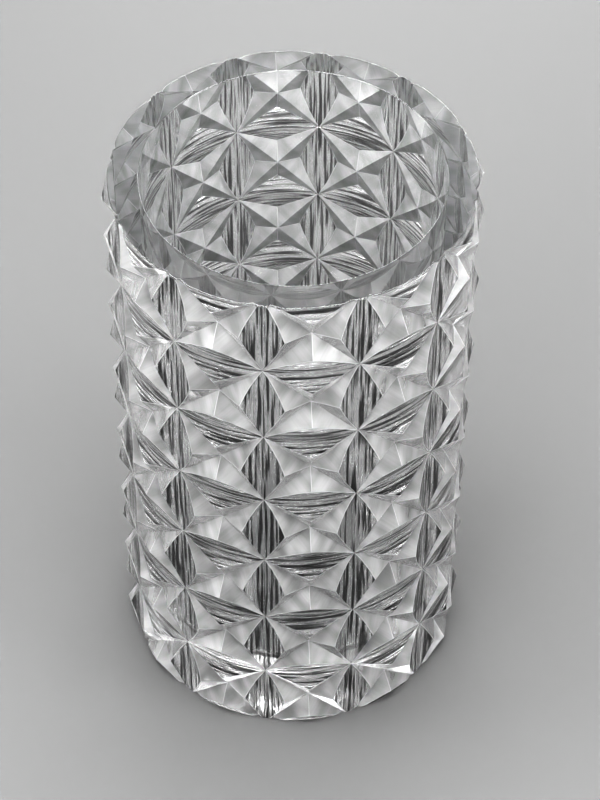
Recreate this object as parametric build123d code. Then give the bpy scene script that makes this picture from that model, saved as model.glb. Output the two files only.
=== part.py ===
from build123d import *
import os
from math import atan2, cos, hypot, radians, sin, tan

# Cut crystal vase, in millimetres. +Z is up, and the origin is the centre of the flat underside.
# The vase is one thick piece of clear glass: a turned blank, cut all over its outside.
# The cuts follow a lattice of nearly square cells. Round flutes run along the cell borders,
# and two V grooves cross in every cell, from corner to corner, so that every corner of the
# lattice is the middle of an eight-rayed star.

# Driving dimensions: the whole
HEIGHT = 250.0
BLANK_RADIUS = 71.2
BORE_RADIUS = 57.0
FLOOR_THICKNESS = 33.0
FLOOR_FILLET = 8.0
EDGE_CHAMFER = 0.6

# Driving dimensions: the lattice of cuts
COLUMNS = 12
ROWS = 7
ROW_HEIGHT = 36.5
NODE_RADIUS = 68.3

# Driving dimensions: the cuts. The flutes and grooves all but touch at a corner of the lattice:
# the upright flutes bite a hair deeper there than the level ones, and the grooves deeper still.
UPRIGHT_FLUTE_RADIUS = 16.9
LEVEL_FLUTE_RADIUS = 14.9
WALL_ANGLE_BY_LEVEL_FLUTE = 39.0
WALL_ANGLE_BY_UPRIGHT_FLUTE = 31.0
UPRIGHT_FLUTE_BITE = 0.03
GROOVE_BITE = 0.12

# Room that the cutters keep outside the glass
CUTTER_MARGIN = 2.0

# Worked out from those
COLUMN_ANGLE = 360.0 / COLUMNS
FIRST_ROW_Z = (HEIGHT - ROWS * ROW_HEIGHT) / 2
HALF_CELL_ANGLE = radians(COLUMN_ANGLE / 2)
GROOVE_END_RADIUS = NODE_RADIUS - GROOVE_BITE
GROOVE_PLANE = GROOVE_END_RADIUS * cos(HALF_CELL_ANGLE)
HALF_CELL_WIDTH = GROOVE_END_RADIUS * sin(HALF_CELL_ANGLE)
HALF_CELL_HEIGHT = ROW_HEIGHT / 2
HALF_DIAGONAL = hypot(HALF_CELL_WIDTH, HALF_CELL_HEIGHT)
GROOVE_CUTTER_RISE = BLANK_RADIUS - GROOVE_PLANE + CUTTER_MARGIN

STANDING = (Align.CENTER, Align.CENTER, Align.MIN)


def turned_blank():
    """The solid blank, with a round level flute turned into it at every row line."""
    blank = Cylinder(BLANK_RADIUS, HEIGHT, align=STANDING)
    ring = Torus(NODE_RADIUS + LEVEL_FLUTE_RADIUS, LEVEL_FLUTE_RADIUS)
    blank = blank - [Pos(0, 0, FIRST_ROW_Z + row * ROW_HEIGHT) * ring for row in range(ROWS + 1)]
    edges_by_height = blank.edges().group_by(Axis.Z)
    return chamfer(edges_by_height[0] + edges_by_height[-1], EDGE_CHAMFER)


def upright_flutes():
    """One round cutter along each column line."""
    wheel = Cylinder(UPRIGHT_FLUTE_RADIUS, HEIGHT + 2 * CUTTER_MARGIN, align=STANDING)
    wheel = Pos(0, UPRIGHT_FLUTE_BITE - NODE_RADIUS - UPRIGHT_FLUTE_RADIUS, -CUTTER_MARGIN) * wheel
    return [Rot(0, 0, column * COLUMN_ANGLE) * wheel for column in range(COLUMNS)]


def half_groove(right, up):
    """The cutter for half of a V groove, from the middle of a cell to one corner.

    right and up are 1 or -1 and name the corner. X is the cell's width, -Y is outward, Z is up.
    """
    angle = atan2(up * HALF_CELL_HEIGHT, right * HALF_CELL_WIDTH)
    level_reach = GROOVE_CUTTER_RISE / tan(radians(WALL_ANGLE_BY_LEVEL_FLUTE))
    upright_reach = GROOVE_CUTTER_RISE / tan(radians(WALL_ANGLE_BY_UPRIGHT_FLUTE))
    left_reach, right_reach = level_reach, upright_reach
    if right * up < 0:
        left_reach, right_reach = upright_reach, level_reach
    outline = [(0, 0), (left_reach, GROOVE_CUTTER_RISE), (-right_reach, GROOVE_CUTTER_RISE)]
    section = Plane((0, 0, 0), x_dir=(-sin(angle), 0, cos(angle)), z_dir=(cos(angle), 0, sin(angle)))
    return extrude(section * make_face(Polyline(*outline, close=True)), HALF_DIAGONAL + CUTTER_MARGIN)


def cell_grooves():
    """Four half grooves for every cell, crossing in its middle."""
    star = [half_groove(right, up) for right in (-1, 1) for up in (-1, 1)]
    grooves = []
    for column in range(COLUMNS):
        turn = Rot(0, 0, (column + 0.5) * COLUMN_ANGLE)
        for row in range(ROWS):
            place = turn * Pos(0, -GROOVE_PLANE, FIRST_ROW_Z + (row + 0.5) * ROW_HEIGHT)
            grooves += [place * cutter for cutter in star]
    return grooves


def bore():
    """The smooth inside: a rounded corner round its floor, and a small bevel at its mouth."""
    inside = Cylinder(BORE_RADIUS, HEIGHT - FLOOR_THICKNESS, align=STANDING)
    inside = Pos(0, 0, FLOOR_THICKNESS) * fillet(inside.edges().group_by(Axis.Z)[0], FLOOR_FILLET)
    bevel = Cone(BORE_RADIUS, BORE_RADIUS + EDGE_CHAMFER, EDGE_CHAMFER, align=STANDING)
    return inside + Pos(0, 0, HEIGHT - EDGE_CHAMFER) * bevel


def vase_body():
    """The finished piece of glass."""
    body = turned_blank() - upright_flutes()
    body = body - cell_grooves()
    return body - bore()


os.makedirs("parts", exist_ok=True)
export_step(vase_body(), "parts/vase_body.step")
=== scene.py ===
from math import asin, atan, atan2, cos, hypot, pi, radians, sin, sqrt, tan

import bpy
import numpy as np
from mathutils import Matrix, Vector


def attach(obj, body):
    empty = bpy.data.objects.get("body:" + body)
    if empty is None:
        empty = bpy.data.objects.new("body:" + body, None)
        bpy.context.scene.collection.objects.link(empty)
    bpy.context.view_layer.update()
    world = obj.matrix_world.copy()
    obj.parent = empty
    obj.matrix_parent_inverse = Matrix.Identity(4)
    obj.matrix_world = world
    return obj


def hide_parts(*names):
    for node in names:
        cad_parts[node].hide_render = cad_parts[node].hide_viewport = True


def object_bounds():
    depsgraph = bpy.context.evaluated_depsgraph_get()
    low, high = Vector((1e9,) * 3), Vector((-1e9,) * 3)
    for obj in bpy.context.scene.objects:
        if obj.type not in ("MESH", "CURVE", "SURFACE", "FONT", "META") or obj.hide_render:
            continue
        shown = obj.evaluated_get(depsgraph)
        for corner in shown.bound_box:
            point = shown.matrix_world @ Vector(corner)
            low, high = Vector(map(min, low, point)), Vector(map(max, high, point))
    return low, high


# A cut crystal vase: one piece of glass, in metres. The outside is built cell by cell from the
# same lattice of cuts as the CAD solid, with its ridges rounded as polishing leaves them.

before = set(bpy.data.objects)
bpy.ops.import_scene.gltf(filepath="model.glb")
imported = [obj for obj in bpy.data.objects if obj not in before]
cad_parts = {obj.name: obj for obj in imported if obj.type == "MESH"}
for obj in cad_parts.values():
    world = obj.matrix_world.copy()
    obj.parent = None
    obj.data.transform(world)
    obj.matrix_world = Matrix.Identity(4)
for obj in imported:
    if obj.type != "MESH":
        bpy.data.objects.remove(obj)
CAD_LOW, CAD_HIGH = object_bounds()
HEIGHT = CAD_HIGH.z - CAD_LOW.z

# The lattice of cuts, the blank and its inside, as in the CAD solid
COLUMNS = 12
ROWS = 7
ROW_HEIGHT = 0.0365
NODE_RADIUS = 0.0683
BLANK_RADIUS = 0.0712
BORE_RADIUS = 0.0570
FLOOR_THICKNESS = 0.0330
FLOOR_FILLET = 0.0080
UPRIGHT_FLUTE_RADIUS = 0.0169
LEVEL_FLUTE_RADIUS = 0.0149
LEVEL_WALL_SLOPE = tan(radians(39.0))
UPRIGHT_WALL_SLOPE = tan(radians(31.0))
EDGE_ROUND = 0.0006

# How far polishing has rounded each ridge, to either side of it, and the most of a face it takes
RIDGE_ROUND = 0.00012
RIDGE_SHARE = 0.3

# How finely the faces are divided
STEPS_ALONG = 10
STEPS_ACROSS_FLUTE = 6
STEPS_ROUND_EDGE = 3
STEPS_DOWN_BORE = 6
STEPS_IN_FILLET = 6
RINGS_ON_DISC = 3
BISECTIONS = 40
SAME_POINT = 1e-7
WELD_DISTANCE = 10 * SAME_POINT

# Seed for where on the stroke noise each groove wall starts, so that no two look alike
WALL_TEXTURE_SEED = 7

# Worked out from those
CELL_ANGLE = 2 * pi / COLUMNS
HALF_ANGLE = CELL_ANGLE / 2
HALF_HEIGHT = ROW_HEIGHT / 2
FIRST_ROW_Z = (HEIGHT - ROWS * ROW_HEIGHT) / 2
GROOVE_PLANE = NODE_RADIUS * cos(HALF_ANGLE)
HALF_WIDTH = NODE_RADIUS * sin(HALF_ANGLE)
DIAGONAL = hypot(HALF_WIDTH, HALF_HEIGHT)
GROOVE_X = HALF_WIDTH / DIAGONAL
GROOVE_Z = HALF_HEIGHT / DIAGONAL

# What a face of the glass is, which is also its material's place on the mesh
WALL, RIDGE, UPRIGHT_FLUTE, LEVEL_FLUTE, SMOOTH, UNDERSIDE = range(6)


# ---------------------------------------------------------------- the shapes of the cuts
# A place in a quarter of a cell is an angle from the cell's middle column, 0 to HALF_ANGLE, and
# a height above its middle row, 0 to HALF_HEIGHT. The middle column faces -Y.

def place(angle, radius, up):
    return np.array([radius * sin(angle), -radius * cos(angle), up])


def unit(vector):
    return vector / np.linalg.norm(vector)


def level_wall_radius(angle, up):
    slope = LEVEL_WALL_SLOPE
    return (GROOVE_PLANE + slope * up * GROOVE_X) / (cos(angle) + slope * GROOVE_Z * sin(angle))


def upright_wall_radius(angle, up):
    slope = UPRIGHT_WALL_SLOPE
    return (GROOVE_PLANE - slope * up * GROOVE_X) / (cos(angle) - slope * GROOVE_Z * sin(angle))


def level_flute_radius(up):
    rise = HALF_HEIGHT - up
    if rise >= LEVEL_FLUTE_RADIUS:
        return BLANK_RADIUS
    depth = sqrt(LEVEL_FLUTE_RADIUS ** 2 - rise ** 2)
    return min(BLANK_RADIUS, NODE_RADIUS + LEVEL_FLUTE_RADIUS - depth)


def upright_flute_radius(angle):
    reach = NODE_RADIUS + UPRIGHT_FLUTE_RADIUS
    aside = reach * sin(HALF_ANGLE - angle)
    if aside >= UPRIGHT_FLUTE_RADIUS:
        return BLANK_RADIUS
    across = reach * cos(HALF_ANGLE - angle) - sqrt(UPRIGHT_FLUTE_RADIUS ** 2 - aside ** 2)
    return min(BLANK_RADIUS, across)


def level_flute_normal(point):
    outward = unit(np.array([point[0], point[1], 0.0]))
    return unit(outward * (NODE_RADIUS + LEVEL_FLUTE_RADIUS) + np.array([0, 0, HALF_HEIGHT]) - point)


def upright_flute_normal(point):
    return unit(place(HALF_ANGLE, NODE_RADIUS + UPRIGHT_FLUTE_RADIUS, point[2]) - point)


LEVEL_WALL_NORMAL = unit(np.array([LEVEL_WALL_SLOPE * GROOVE_Z, -1.0, -LEVEL_WALL_SLOPE * GROOVE_X]))
UPRIGHT_WALL_NORMAL = unit(np.array([-UPRIGHT_WALL_SLOPE * GROOVE_Z, -1.0,
                                     UPRIGHT_WALL_SLOPE * GROOVE_X]))
LEVEL_RIDGE_NORMAL = unit(LEVEL_WALL_NORMAL * np.array([0, 1, 1]))
UPRIGHT_RIDGE_NORMAL = unit(UPRIGHT_WALL_NORMAL * np.array([1, 1, 0]))


def crossing(low, high, gap):
    """Where gap, below nought at low and above it at high, is nought."""
    for _ in range(BISECTIONS):
        middle = (low + high) / 2
        if gap(middle) < 0:
            low = middle
        else:
            high = middle
    return (low + high) / 2


# ---------------------------------------------------------------- a quarter of a cell
# A corner of a face is a row of eight numbers: its point, its normal and its two texture
# coordinates. Texture runs along and across the stroke on a groove's wall, and round and up
# the vase everywhere else.

def corner(point, normal, texture=None):
    if texture is None:
        texture = (atan2(point[0], -point[1]) * NODE_RADIUS, point[2])
    return np.concatenate([point, normal, texture])


def wall_corner(point, normal):
    along = point[0] * GROOVE_X + point[2] * GROOVE_Z
    across = abs(point[2] * GROOVE_X - point[0] * GROOVE_Z)
    return corner(point, normal, (along, across))


def faces_between(first, second, kind):
    """The faces between two lists of corners that stand side by side, the second to the right."""
    quads = [[first[i], second[i], second[i + 1], first[i + 1]] for i in range(len(first) - 1)]
    return [(quad, kind) for quad in quads]


def stations(top):
    """Shares of the half diagonal where the quarter is divided, up to where the rim cuts it off."""
    highest = top / HALF_HEIGHT
    ridge = RIDGE_ROUND / HALF_WIDTH
    return [0.0, ridge] + [ridge + (highest - ridge) * (i + 1) / STEPS_ALONG for i in range(STEPS_ALONG)]


def upper_column(share, top):
    """One upright line of corners above the groove: wall, rounded crest, then level flute."""
    angle = atan(share * tan(HALF_ANGLE))
    foot = min(share * HALF_HEIGHT, top)
    crest = crossing(foot, HALF_HEIGHT, lambda up: level_wall_radius(angle, up) - level_flute_radius(up))
    cut_off = crest >= top
    crest = min(crest, top)
    wall_end = crest - min(RIDGE_ROUND, RIDGE_SHARE * (crest - foot))
    flute_start = crest + min(RIDGE_ROUND, RIDGE_SHARE * (top - crest))
    on_ridge = share == 0
    normal = LEVEL_RIDGE_NORMAL if on_ridge else LEVEL_WALL_NORMAL
    sunk = RIDGE_ROUND * LEVEL_WALL_SLOPE * GROOVE_Z / 2 if on_ridge else 0.0
    wall = [wall_corner(place(angle, level_wall_radius(angle, foot), foot), normal),
            wall_corner(place(angle, level_wall_radius(angle, wall_end) - sunk, wall_end), normal)]
    if cut_off:
        edge = place(angle, level_wall_radius(angle, top) - sunk, top)
        return wall, [wall[1], corner(edge, normal)], [corner(edge, normal)] * (STEPS_ACROSS_FLUTE + 1)
    first_tilt = asin((HALF_HEIGHT - flute_start) / LEVEL_FLUTE_RADIUS)
    last_tilt = asin((HALF_HEIGHT - top) / LEVEL_FLUTE_RADIUS)
    flute = []
    for i in range(STEPS_ACROSS_FLUTE + 1):
        tilt = first_tilt + (last_tilt - first_tilt) * i / STEPS_ACROSS_FLUTE
        up = HALF_HEIGHT - LEVEL_FLUTE_RADIUS * sin(tilt)
        point = place(angle, level_flute_radius(up), up)
        flute.append(corner(point, level_flute_normal(point)))
    return wall, [wall[1], flute[0]], flute


def side_row(share, top):
    """One level line of corners beside the groove: wall, rounded crest, then upright flute."""
    up = min(share * HALF_HEIGHT, top)
    foot = atan(share * tan(HALF_ANGLE))
    crest = crossing(foot, HALF_ANGLE,
                     lambda angle: upright_wall_radius(angle, up) - upright_flute_radius(angle))
    round_angle = RIDGE_ROUND / NODE_RADIUS
    wall_end = crest - min(round_angle, RIDGE_SHARE * (crest - foot))
    flute_start = crest + min(round_angle, RIDGE_SHARE * (HALF_ANGLE - crest))
    on_ridge = share == 0
    normal = UPRIGHT_RIDGE_NORMAL if on_ridge else UPRIGHT_WALL_NORMAL
    sunk = RIDGE_ROUND * UPRIGHT_WALL_SLOPE * GROOVE_X / 2 if on_ridge else 0.0
    wall = [wall_corner(place(foot, upright_wall_radius(foot, up), up), normal),
            wall_corner(place(wall_end, upright_wall_radius(wall_end, up) - sunk, up), normal)]
    start_radius = upright_flute_radius(flute_start)
    first_tilt = asin(start_radius * sin(HALF_ANGLE - flute_start) / UPRIGHT_FLUTE_RADIUS)
    flute = []
    for i in range(STEPS_ACROSS_FLUTE + 1):
        tilt = first_tilt * (1 - i / STEPS_ACROSS_FLUTE)
        aside = UPRIGHT_FLUTE_RADIUS * sin(tilt)
        outward = NODE_RADIUS + UPRIGHT_FLUTE_RADIUS * (1 - cos(tilt))
        point = place(HALF_ANGLE - atan2(aside, outward), min(BLANK_RADIUS, hypot(aside, outward)), up)
        flute.append(corner(point, upright_flute_normal(point)))
    return wall, [wall[1], flute[0]], flute


def quarter_cell(top):
    """The faces of the upper right quarter of a cell, up to the height top above its middle row."""
    shares = stations(top)
    columns = [upper_column(share, top) for share in shares]
    rows = [side_row(share, top) for share in shares]
    faces = []
    for i in range(len(shares) - 1):
        wall_kind = RIDGE if i == 0 else WALL
        for band, kind in enumerate((wall_kind, RIDGE, LEVEL_FLUTE)):
            faces += faces_between(columns[i][band], columns[i + 1][band], kind)
        for band, kind in enumerate((wall_kind, RIDGE, UPRIGHT_FLUTE)):
            lower, upper = rows[i][band], rows[i + 1][band]
            quads = [[lower[j], lower[j + 1], upper[j + 1], upper[j]] for j in range(len(lower) - 1)]
            faces += [(quad, kind) for quad in quads]
    corners = np.array([quad for quad, _ in faces])
    kinds = np.array([kind for _, kind in faces])
    return corners, kinds


def mirrored(corners, kinds, flip_x, flip_z):
    """The quarter's faces in another quarter of the cell."""
    out = corners.copy()
    not_wall = kinds != WALL
    for flip, axis, texture_axis in ((flip_x, 0, 6), (flip_z, 2, 7)):
        if flip:
            out[:, :, axis] *= -1
            out[:, :, axis + 3] *= -1
            out[not_wall, :, texture_axis] *= -1
    if flip_x != flip_z:
        out = out[:, ::-1]
    return out


def turned(corners, angle):
    """The faces turned about the vase's axis."""
    out = corners.copy()
    turn = np.array([[cos(angle), -sin(angle)], [sin(angle), cos(angle)]])
    for start in (0, 3):
        out[:, :, start:start + 2] = corners[:, :, start:start + 2] @ turn.T
    return out


def cut_outside():
    """Every face of the outside, between the rounded edges of the rim and of the foot."""
    whole = quarter_cell(HALF_HEIGHT)
    cut_off = quarter_cell(HALF_HEIGHT + FIRST_ROW_Z - EDGE_ROUND)
    chance = np.random.default_rng(WALL_TEXTURE_SEED)
    all_corners, all_kinds = [], []
    for column in range(COLUMNS):
        angle = (column + 0.5) * CELL_ANGLE
        for row in range(ROWS):
            middle = FIRST_ROW_Z + (row + 0.5) * ROW_HEIGHT
            for flip_x in (False, True):
                for flip_z in (False, True):
                    at_end = row == (0 if flip_z else ROWS - 1)
                    corners, kinds = cut_off if at_end else whole
                    faces = turned(mirrored(corners, kinds, flip_x, flip_z), angle)
                    faces[:, :, 2] += middle
                    is_wall = kinds == WALL
                    faces[~is_wall, :, 6] += angle * NODE_RADIUS
                    faces[~is_wall, :, 7] += middle
                    faces[is_wall, :, 6:] += chance.uniform(-1, 1, 2)
                    all_corners.append(faces)
                    all_kinds.append(kinds)
    return np.concatenate(all_corners), np.concatenate(all_kinds)


# ---------------------------------------------------------------- rim, inside and foot

def outline_at(corners, up):
    """The angles and radii of the outside's corners at one height, once each, in order of angle."""
    points = corners[:, :, :3].reshape(-1, 3)
    points = points[np.abs(points[:, 2] - up) < SAME_POINT]
    around = np.round(np.arctan2(points[:, 0], -points[:, 1]) % (2 * pi), 6) % round(2 * pi, 6)
    angles, first = np.unique(around, return_index=True)
    exact = points[first]
    return np.arctan2(exact[:, 0], -exact[:, 1]), np.hypot(exact[:, 0], exact[:, 1])


def lathe(angles, rings):
    """Faces between rings. A ring is (radii, height, outward part of the normal, upward part)."""
    lines = []
    for radii, up, outward, rise in rings:
        radii = np.broadcast_to(radii, angles.shape)
        sine, cosine = np.sin(angles), np.cos(angles)
        height = np.full_like(angles, up)
        around = angles % (2 * pi) * NODE_RADIUS
        lines.append(np.stack([radii * sine, -radii * cosine, height,
                               outward * sine, -outward * cosine, np.full_like(angles, rise),
                               around, height], axis=1))
    quads = []
    for below, above in zip(lines, lines[1:]):
        right_below, right_above = np.roll(below, -1, axis=0), np.roll(above, -1, axis=0)
        quads.append(np.stack([below, right_below, right_above, above], axis=1))
    return np.concatenate(quads)


def quarter_turn(steps):
    return [pi / 2 * i / steps for i in range(steps + 1)]


def rim_and_inside(angles, radii):
    """Rounded outer edge, flat rim, rounded inner edge, straight bore, filleted floor."""
    edge = EDGE_ROUND
    rings = [(radii - edge + edge * cos(a), HEIGHT - edge + edge * sin(a), cos(a), sin(a))
             for a in quarter_turn(STEPS_ROUND_EDGE)]
    rings += [(BORE_RADIUS + edge - edge * sin(a), HEIGHT - edge + edge * cos(a), -sin(a), cos(a))
              for a in quarter_turn(STEPS_ROUND_EDGE)]
    bore_low = FLOOR_THICKNESS + FLOOR_FILLET
    bore_high = HEIGHT - edge
    rings += [(BORE_RADIUS, bore_high + (bore_low - bore_high) * (i + 1) / STEPS_DOWN_BORE, -1, 0)
              for i in range(STEPS_DOWN_BORE)]
    floor_radius = BORE_RADIUS - FLOOR_FILLET
    rings += [(floor_radius + FLOOR_FILLET * cos(a), bore_low - FLOOR_FILLET * sin(a), -cos(a), sin(a))
              for a in quarter_turn(STEPS_IN_FILLET)[1:]]
    rings += [(floor_radius * (1 - (i + 1) / RINGS_ON_DISC), FLOOR_THICKNESS, 0, 1)
              for i in range(RINGS_ON_DISC)]
    return lathe(angles, rings)


def foot(angles, radii):
    """The flat underside and the rounded edge round it, from the middle out."""
    edge = EDGE_ROUND
    rings = [((radii - edge) * i / RINGS_ON_DISC, 0.0, 0, -1) for i in range(RINGS_ON_DISC)]
    rings += [(radii - edge + edge * sin(a), edge - edge * cos(a), sin(a), -cos(a))
              for a in quarter_turn(STEPS_ROUND_EDGE)]
    return lathe(angles, rings)


def glass_mesh(name):
    """The whole vase as one closed mesh with its own normals and texture coordinates."""
    outside, outside_kinds = cut_outside()
    inside = rim_and_inside(*outline_at(outside, HEIGHT - EDGE_ROUND))
    under = foot(*outline_at(outside, EDGE_ROUND))
    corners = np.concatenate([outside, inside, under])
    kinds = np.concatenate([outside_kinds, np.full(len(inside), SMOOTH), np.full(len(under), UNDERSIDE)])

    keys = np.round(corners[:, :, :3].reshape(-1, 3) / WELD_DISTANCE).astype(np.int64)
    _, first, index = np.unique(keys, axis=0, return_index=True, return_inverse=True)
    points = corners[:, :, :3].reshape(-1, 3)[first]
    index = index.reshape(-1, 4)
    polygons, loops, kept = [], [], []
    for face, vertices in enumerate(index.tolist()):
        keep = [i for i in range(4) if vertices[i] != vertices[i - 1]]
        if len(set(vertices[i] for i in keep)) < 3:
            continue
        polygons.append([vertices[i] for i in keep])
        loops += [(face, i) for i in keep]
        kept.append(face)

    mesh = bpy.data.meshes.new(name)
    mesh.from_pydata(points.tolist(), [], polygons)
    mesh.polygons.foreach_set("use_smooth", np.ones(len(polygons), bool))
    mesh.polygons.foreach_set("material_index", kinds[kept].astype(np.int32))
    face_at, corner_at = np.array(loops).T
    texture = mesh.uv_layers.new(name="stroke")
    texture.data.foreach_set("uv", corners[face_at, corner_at, 6:].astype(np.float32).ravel())
    mesh.normals_split_custom_set(corners[face_at, corner_at, 3:6].tolist())
    mesh.update()
    return mesh


# ---------------------------------------------------------------- materials

def new_material(name):
    material = bpy.data.materials.new(name)
    material.use_nodes = True
    nodes = material.node_tree.nodes
    nodes.clear()
    output = nodes.new("ShaderNodeOutputMaterial")
    shader = nodes.new("ShaderNodeBsdfPrincipled")
    material.node_tree.links.new(shader.outputs["BSDF"], output.inputs["Surface"])
    return material, material.node_tree, shader


# Lengths here are in metres. Roughness stays under 0.27 in every finish: a map that passes it
# leaves sharp-edged patches after denoising.
CRYSTAL_IOR = 1.55
CLEAR = (0.98, 0.985, 0.985, 1.0)

# The middle band of a noise value, over which its effect runs from least to most
NOISE_LOW, NOISE_HIGH = 0.35, 0.65

# How much of its light a finish lets through. It scatters the rest, as ground glass does.
SATIN_CLARITY = 0.68
FLUTE_CLARITY = 0.82
RIDGE_CLARITY = 0.6

# Satin groove walls
SATIN_LINE_ALONG, SATIN_LINE_ACROSS = 0.0007, 0.020
SATIN_CLOUD_ALONG, SATIN_CLOUD_ACROSS = 0.008, 0.013
SATIN_LINE_SHADE = 0.95
SATIN_CLOUD_SHADE = 0.68
SATIN_ROUGHNESS = (0.18, 0.26)
SATIN_RELIEF = 0.00015

# Flutes: fine streaks over broad ripples, each given as its width and its length
STREAK_WIDTH, STREAK_LENGTH = 0.0012, 0.034
RIPPLE_WIDTH, RIPPLE_LENGTH = 0.0060, 0.020
# Painted shade: the flutes' colour is darkened along the streaks, down to this grey, standing in for the
# dark surroundings seen through the glass. The next two give the band of the noise over which this
# painted shade gives way to clear.
PAINTED_SHADE_IN_STREAKS = 0.10
PAINTED_SHADE_LOW, PAINTED_SHADE_HIGH = 0.43, 0.52
STREAK_RELIEF = 0.0009
RIPPLE_RELIEF = 0.0011

# Worn ridges
WEAR_SIZE = 0.003
WEAR_ROUGHNESS = (0.12, 0.24)
WEAR_RELIEF = 0.00002

# Smooth glass and the underside
WAVE_ALONG, WAVE_ACROSS = 0.02, 0.03
HAZE_ROUGHNESS = (0.0, 0.01)
SMOOTH_RELIEF = 0.0001
UNDERSIDE_RELIEF = 0.00005


def stroke_noise(tree, along, across, detail):
    """Noise stretched along the texture coordinates: its features are along by across in size."""
    coordinates = tree.nodes.new("ShaderNodeUVMap")
    coordinates.uv_map = "stroke"
    scale = tree.nodes.new("ShaderNodeVectorMath")
    scale.operation = "MULTIPLY"
    scale.inputs[1].default_value = (1 / along, 1 / across, 1)
    noise = tree.nodes.new("ShaderNodeTexNoise")
    noise.inputs["Scale"].default_value = 1.0
    noise.inputs["Detail"].default_value = detail
    tree.links.new(coordinates.outputs["UV"], scale.inputs[0])
    tree.links.new(scale.outputs["Vector"], noise.inputs["Vector"])
    return noise.outputs["Fac"]


def remap(tree, value, low, high):
    """The noise value stretched to run from low to high."""
    node = tree.nodes.new("ShaderNodeMapRange")
    node.inputs["From Min"].default_value = NOISE_LOW
    node.inputs["From Max"].default_value = NOISE_HIGH
    node.inputs["To Min"].default_value = low
    node.inputs["To Max"].default_value = high
    tree.links.new(value, node.inputs["Value"])
    return node.outputs["Result"]


def bump(tree, height, depth, before=None):
    node = tree.nodes.new("ShaderNodeBump")
    node.inputs["Distance"].default_value = depth
    node.inputs["Strength"].default_value = 1.0
    tree.links.new(height, node.inputs["Height"])
    if before is not None:
        tree.links.new(before, node.inputs["Normal"])
    return node.outputs["Normal"]


def crystal(name, transmission=1.0):
    material, tree, shader = new_material(name)
    shader.inputs["Base Color"].default_value = CLEAR
    shader.inputs["IOR"].default_value = CRYSTAL_IOR
    shader.inputs["Transmission Weight"].default_value = transmission
    shader.inputs["Roughness"].default_value = 0.0
    return material, tree, shader


def shaded(tree, value, shade, first=NOISE_LOW, last=NOISE_HIGH):
    """A grey that runs from shade, where the value is first, to white, where it is last."""
    ramp = tree.nodes.new("ShaderNodeValToRGB")
    for element, (position, level) in zip(ramp.color_ramp.elements, ((first, shade), (last, 1.0))):
        element.position = position
        element.color = (level, level, level, 1)
    tree.links.new(value, ramp.inputs["Fac"])
    return ramp.outputs["Color"]


def multiplied(tree, first, second):
    mix = tree.nodes.new("ShaderNodeMix")
    mix.data_type = "RGBA"
    mix.blend_type = "MULTIPLY"
    mix.inputs["Factor"].default_value = 1.0
    tree.links.new(first, mix.inputs["A"])
    tree.links.new(second, mix.inputs["B"])
    return mix.outputs["Result"]


def satin_wall():
    """A groove's wall: ground, half polished, cloudy, with fine lines square to the groove."""
    material, tree, shader = crystal("crystal_satin", SATIN_CLARITY)
    lines = stroke_noise(tree, SATIN_LINE_ALONG, SATIN_LINE_ACROSS, detail=1.0)
    clouds = stroke_noise(tree, SATIN_CLOUD_ALONG, SATIN_CLOUD_ACROSS, detail=1.0)
    tint = multiplied(tree, shaded(tree, lines, SATIN_LINE_SHADE),
                      shaded(tree, clouds, SATIN_CLOUD_SHADE))
    tree.links.new(tint, shader.inputs["Base Color"])
    tree.links.new(remap(tree, clouds, *SATIN_ROUGHNESS), shader.inputs["Roughness"])
    tree.links.new(bump(tree, clouds, SATIN_RELIEF), shader.inputs["Normal"])
    return material


def fluted(name, streak_size, ripple_size):
    """A polished flute: relief along the way its wheel ran, with painted shade darkening its streaks."""
    material, tree, shader = crystal(name, FLUTE_CLARITY)
    ripples = stroke_noise(tree, *ripple_size, detail=0.0)
    streaks = stroke_noise(tree, *streak_size, detail=2.0)
    # The base colour is painted shade: dark along the streaks, clear between them.
    tint = shaded(tree, streaks, PAINTED_SHADE_IN_STREAKS, PAINTED_SHADE_LOW, PAINTED_SHADE_HIGH)
    tree.links.new(tint, shader.inputs["Base Color"])
    relief = bump(tree, streaks, STREAK_RELIEF, bump(tree, ripples, RIPPLE_RELIEF))
    tree.links.new(relief, shader.inputs["Normal"])
    return material


def worn_ridge():
    """A ridge between two cuts, faintly frosted by wear."""
    material, tree, shader = crystal("crystal_ridge", RIDGE_CLARITY)
    wear = stroke_noise(tree, WEAR_SIZE, WEAR_SIZE, detail=1.0)
    tree.links.new(remap(tree, wear, *WEAR_ROUGHNESS), shader.inputs["Roughness"])
    tree.links.new(bump(tree, wear, WEAR_RELIEF), shader.inputs["Normal"])
    return material


def polished(name, relief):
    """Smooth glass: faint waves, and a trace of haze from handling."""
    material, tree, shader = crystal(name)
    waves = stroke_noise(tree, WAVE_ALONG, WAVE_ACROSS, detail=2.0)
    tree.links.new(remap(tree, waves, *HAZE_ROUGHNESS), shader.inputs["Roughness"])
    tree.links.new(bump(tree, waves, relief), shader.inputs["Normal"])
    return material


vase = bpy.data.objects.new("cut_crystal_vase", glass_mesh("cut_crystal_vase"))
bpy.context.scene.collection.objects.link(vase)
FINISHES = (
    satin_wall(),
    worn_ridge(),
    fluted("crystal_upright_flute", (STREAK_WIDTH, STREAK_LENGTH), (RIPPLE_WIDTH, RIPPLE_LENGTH)),
    fluted("crystal_level_flute", (STREAK_LENGTH, STREAK_WIDTH), (RIPPLE_LENGTH, RIPPLE_WIDTH)),
    polished("crystal_smooth", SMOOTH_RELIEF),
    polished("crystal_underside", UNDERSIDE_RELIEF),
)
for finish in FINISHES:
    vase.data.materials.append(finish)
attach(vase, "root")
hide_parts("vase_body")


# ---------------------------------------------------------------- floor, light and camera

# The floor is a hair below the foot, so that the two faces don't coincide
FLOOR_GAP = 0.0002
FLOOR_SIZE = 8.0
FLOOR_GREY = (0.24, 0.24, 0.24, 1)
FLOOR_ROUGHNESS = 0.6

# The surroundings, from straight down to straight up
ROOM_LOW_GREY = (0.09, 0.09, 0.09, 1)
ROOM_HIGH_GREY = (0.16, 0.16, 0.16, 1)

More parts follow.
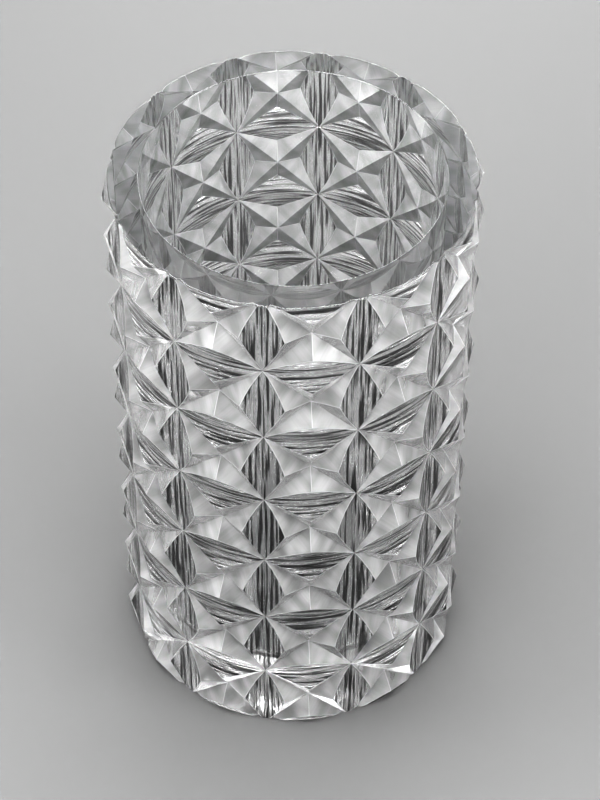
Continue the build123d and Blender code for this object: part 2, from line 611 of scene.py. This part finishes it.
# Each softbox: its name, place, width, height and brightness. The flat rim mirrors whatever is
# behind the vase at about 48 degrees up in the main view, so no softbox is there.
SOFT_BOXES = (
    ("overhead_softbox", (0.0, -0.12, 0.85), 0.9, 0.9, 4.0),
    ("back_softbox", (0.0, 1.1, 0.36), 1.4, 0.55, 4.2),
    ("left_softbox", (-0.9, -0.1, 0.40), 0.5, 0.6, 3.0),
    ("right_softbox", (0.95, -0.2, 0.40), 0.4, 0.6, 3.5),
    ("front_softbox", (-0.4, -1.2, 0.6), 0.5, 0.4, 4.2),
)

EXPOSURE = 0.28
GAMMA = 0.65
GLASS_BOUNCES = 24
GLOSSY_BOUNCES = 8


def plain_floor():
    bpy.ops.mesh.primitive_plane_add(size=FLOOR_SIZE, location=(0, 0, CAD_LOW.z - FLOOR_GAP))
    floor = bpy.context.object
    floor.name = "studio_floor"
    material, tree, shader = new_material("pale_floor")
    shader.inputs["Base Color"].default_value = FLOOR_GREY
    shader.inputs["Roughness"].default_value = FLOOR_ROUGHNESS
    floor.data.materials.append(material)


def soft_box(name, location, width, height, brightness):
    """A softbox aimed at the vase, as bright all over its face as brightness times white."""
    light = bpy.data.lights.new(name, "AREA")
    light.shape = "RECTANGLE"
    light.size = width
    light.size_y = height
    light.energy = brightness * pi * width * height
    box = bpy.data.objects.new(name, light)
    bpy.context.scene.collection.objects.link(box)
    box.location = location
    box.rotation_mode = "QUATERNION"
    box.rotation_quaternion = (Vector((0, 0, HEIGHT / 2)) - Vector(location)).to_track_quat("-Z", "Y")
    box.visible_camera = False


def soft_room():
    """Dim grey surroundings, lighter overhead."""
    world = bpy.data.worlds.new("room")
    bpy.context.scene.world = world
    world.use_nodes = True
    tree = world.node_tree
    background = tree.nodes["Background"]
    direction = tree.nodes.new("ShaderNodeTexCoord")
    split = tree.nodes.new("ShaderNodeSeparateXYZ")
    ramp = tree.nodes.new("ShaderNodeValToRGB")
    ramp.color_ramp.elements[0].position = 0.0
    ramp.color_ramp.elements[0].color = ROOM_LOW_GREY
    ramp.color_ramp.elements[1].position = 1.0
    ramp.color_ramp.elements[1].color = ROOM_HIGH_GREY
    tree.links.new(direction.outputs["Generated"], split.inputs[0])
    tree.links.new(split.outputs["Z"], ramp.inputs["Fac"])
    tree.links.new(ramp.outputs["Color"], background.inputs["Color"])
    background.inputs["Strength"].default_value = 1.0


CAMERA_AZIMUTH = radians(8.95)
CAMERA_ELEVATION = radians(48.27)
CAMERA_DISTANCE = 1.098
CAMERA_LENS = 122.9
CAMERA_ROLL = radians(0.32)
AIM_ASIDE = 0.0029
SENSOR_WIDTH = 36.0


def photo_camera():
    """Looks down on the vase from the height and side that the photograph was taken from."""
    back = Vector((sin(CAMERA_AZIMUTH) * cos(CAMERA_ELEVATION),
                   -cos(CAMERA_AZIMUTH) * cos(CAMERA_ELEVATION),
                   sin(CAMERA_ELEVATION)))
    right = Vector((cos(CAMERA_AZIMUTH), sin(CAMERA_AZIMUTH), 0))
    camera = bpy.data.objects.new("camera", bpy.data.cameras.new("camera"))
    bpy.context.scene.collection.objects.link(camera)
    aim = Vector((0, 0, HEIGHT / 2)) + right * AIM_ASIDE
    camera.location = aim + back * CAMERA_DISTANCE
    camera.rotation_mode = "QUATERNION"
    level = (-back).to_track_quat("-Z", "Y")
    camera.rotation_quaternion = level @ Matrix.Rotation(CAMERA_ROLL, 3, "Z").to_quaternion()
    camera.data.lens = CAMERA_LENS
    camera.data.sensor_width = SENSOR_WIDTH
    bpy.context.scene.camera = camera


plain_floor()
soft_room()
for box_values in SOFT_BOXES:
    soft_box(*box_values)
photo_camera()

look = bpy.context.scene.view_settings
look.view_transform = "Standard"
look.look = "High Contrast"
look.gamma = GAMMA
look.exposure = EXPOSURE

bpy.context.scene.cycles.max_bounces = GLASS_BOUNCES
bpy.context.scene.cycles.transmission_bounces = GLASS_BOUNCES
bpy.context.scene.cycles.glossy_bounces = GLOSSY_BOUNCES
